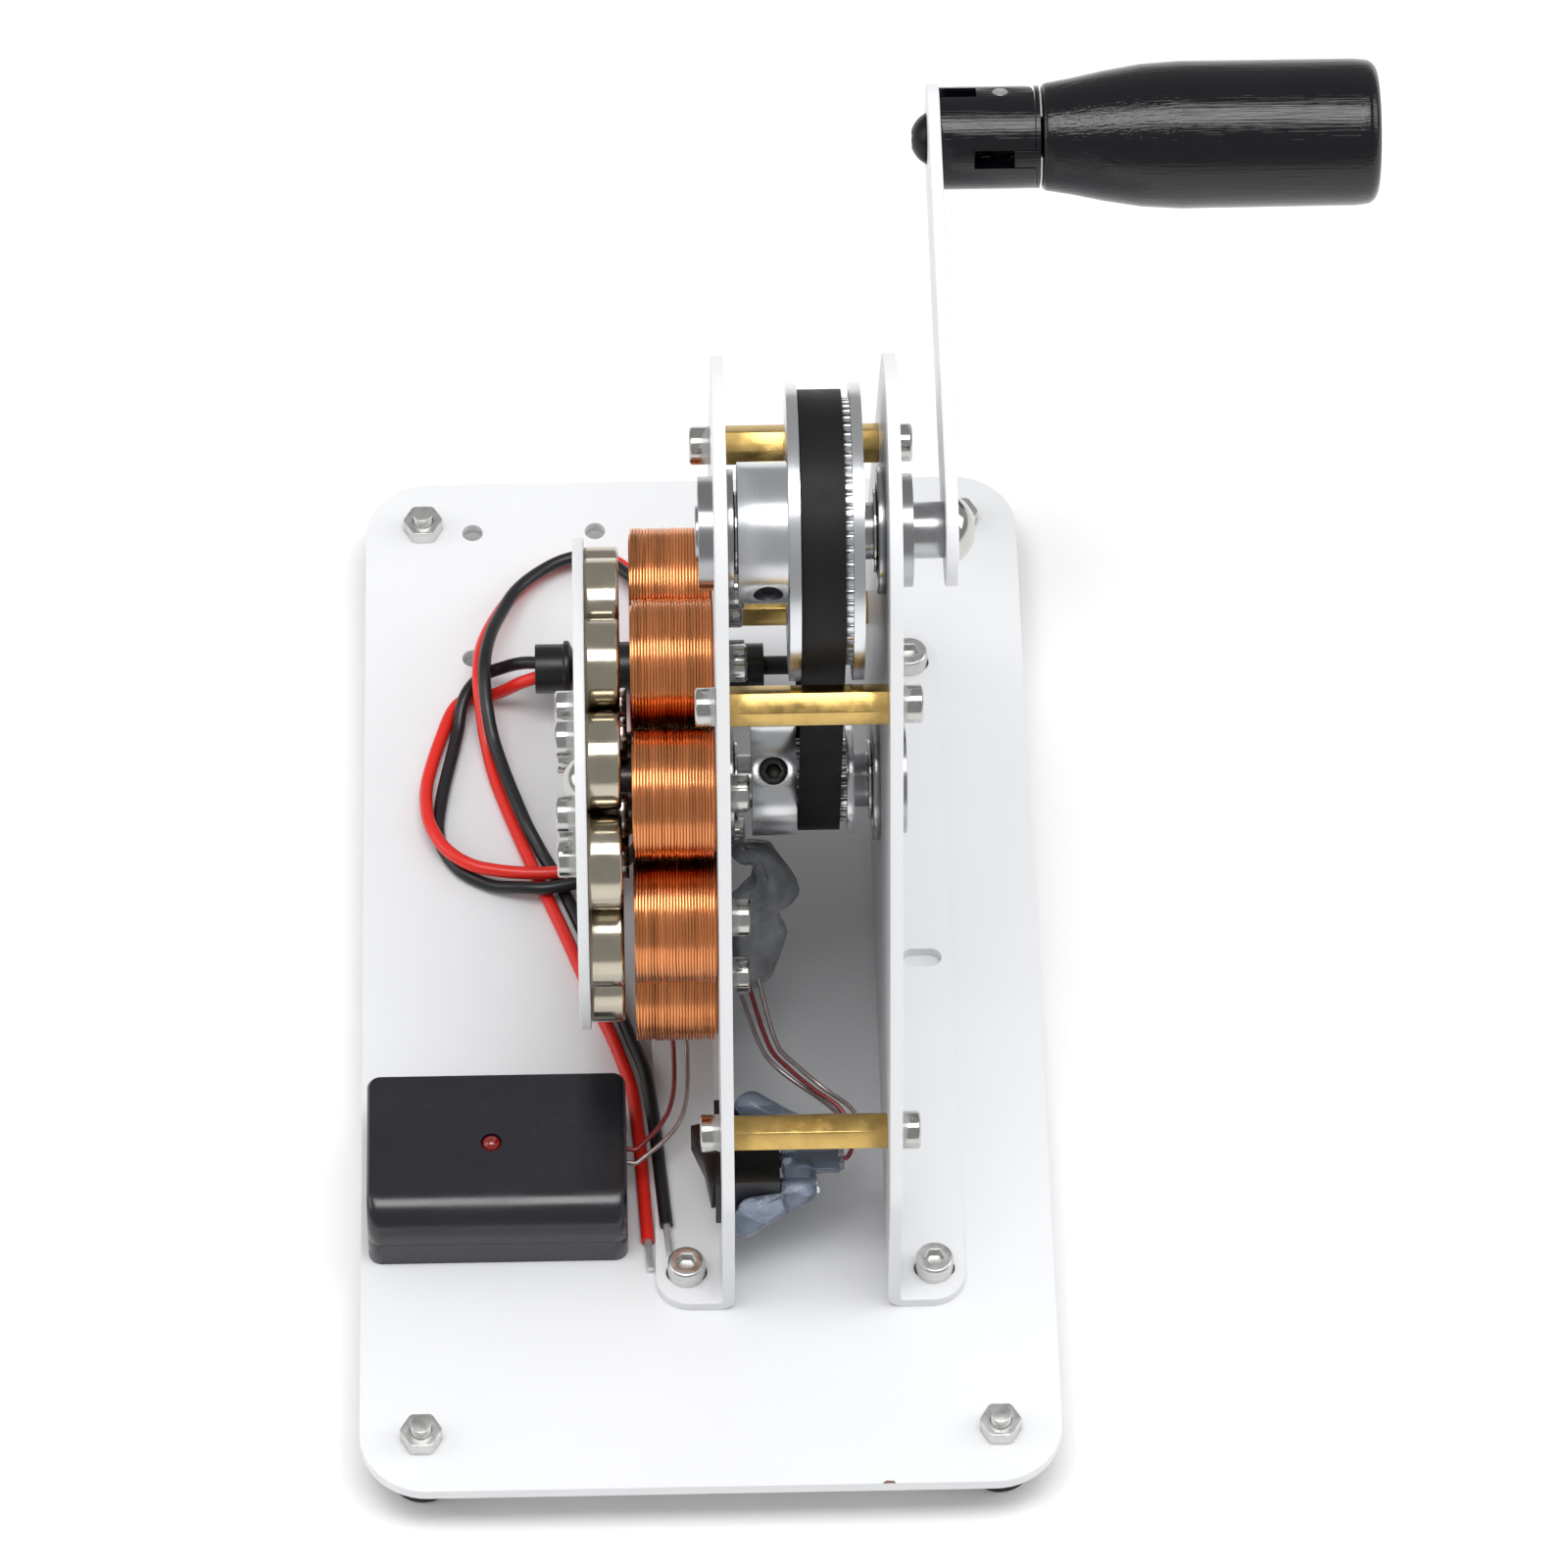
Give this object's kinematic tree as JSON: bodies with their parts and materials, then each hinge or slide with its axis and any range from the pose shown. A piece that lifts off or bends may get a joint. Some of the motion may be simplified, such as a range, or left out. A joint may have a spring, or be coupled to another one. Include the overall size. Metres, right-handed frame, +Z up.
{
  "type": "hand crank generator",
  "caption": "Bench model of a hand crank generator: a folding crank handle and toothed belt spin a magnet disc past a ring of coils between two sheet metal brackets.",
  "frame": {"origin": "under the middle of the whole assembly, the handle included, on the surface that the rubber feet stand on", "axes": "+X to the right along both shafts, towards the crank and the handle; +Y to the back, along the length of the base plate and the crank arm at rest; +Z up"},
  "size_m": [0.1516, 0.186, 0.1407],
  "materials": {
    "coat": "smooth white powder coat on sheet metal",
    "rubber": "matt black rubber",
    "belt": "satin black belt rubber",
    "screws": "bright nickel plated steel",
    "steel": "turned steel",
    "alloy": "turned aluminium",
    "brass": "bright brass",
    "copper": "enamelled copper wire, glossy",
    "magnet": "nickel plated magnet",
    "black_plastic": "fine grained black plastic",
    "gloss_black": "smooth black plastic",
    "board": "green board",
    "lamp": "dark red lens, unlit",
    "glue": "clear hot glue",
    "red_wire": "red wire sleeve",
    "black_wire": "black wire sleeve",
    "thin_wire": "enamelled thin wire",
    "tin": "tinned wire"
  },
  "bodies": {
    "stand": {"base_plate": "coat", "rubber_feet": "rubber", "foot_screws": "screws", "foot_nuts": "screws", "left_bracket": "coat", "right_bracket": "coat", "bracket_screws": "screws", "bracket_nuts": "screws", "standoffs": "brass", "standoff_screws": "screws", "drive_bearing_left": "steel", "drive_bearing_right": "steel", "driven_bearing_left": "steel", "driven_bearing_right": "steel", "timing_belt": "belt", "coil_poles": "steel", "coil_cores": "copper", "coil_windings": "copper", "coil_screws": "screws", "box_tray": "black_plastic", "box_cover": "black_plastic", "circuit_board": "board", "box_lamp": "lamp", "switch_body": "gloss_black", "switch_terminals": "screws", "switch_sleeves": "gloss_black", "switch_glue": "glue", "cable_gland": "gloss_black", "gland_nut": "gloss_black", "gland_sleeve": "gloss_black", "red_lead": "red_wire", "black_lead": "black_wire", "lead_tips": "tin", "box_wires": "thin_wire", "switch_wires": "thin_wire", "glue_lump": "glue"},
    "crank": {"drive_shaft": "steel", "drive_washers": "screws", "drive_pulley": "alloy", "drive_set_screws": "steel", "crank_arm": "coat", "crank_arm_screw": "screws", "handle_fork": "black_plastic", "handle_screw": "steel", "handle_hinge_pin": "screws"},
    "rotor": {"driven_shaft": "steel", "driven_washers": "screws", "driven_pulley": "alloy", "driven_set_screws": "steel", "rotor_disc": "coat", "rotor_magnets": "magnet", "rotor_hub": "steel", "rotor_hub_screws": "screws", "rotor_hub_nuts": "screws", "rotor_hub_set_screw": "steel", "rotor_end_screw": "screws"},
    "knuckle": {"handle_knuckle": "black_plastic"},
    "grip": {"handle_grip": "black_plastic"},
    "rocker": {"switch_rocker": "gloss_black"}
  },
  "joints": [
    {"name": "crank_spin", "type": "hinge", "parent": "stand", "child": "crank", "pos_m": [-0.0097, -0.0012, 0.1157], "axis": [1, 0, 0], "continuous": true},
    {"name": "rotor_spin", "type": "hinge", "parent": "stand", "child": "rotor", "pos_m": [-0.0097, -0.0012, 0.0571], "axis": [1, 0, 0], "continuous": true},
    {"name": "handle_fold", "type": "hinge", "parent": "crank", "child": "knuckle", "pos_m": [0.0206, 0.0716, 0.1157], "axis": [0, 0.3907, 0.9205], "range_deg": [0, 60]},
    {"name": "grip_spin", "type": "hinge", "parent": "knuckle", "child": "grip", "pos_m": [0.05, 0.0716, 0.1157], "axis": [1, 0, 0], "continuous": true},
    {"name": "switch_rock", "type": "hinge", "parent": "stand", "child": "rocker", "pos_m": [-0.0221, -0.0462, 0.0244], "axis": [0, 0, 1], "range_deg": [-30, 0]}
  ],
  "couplings": [
    {"joint": "rotor_spin", "follows": "crank_spin", "ratio": 3}
  ]
}
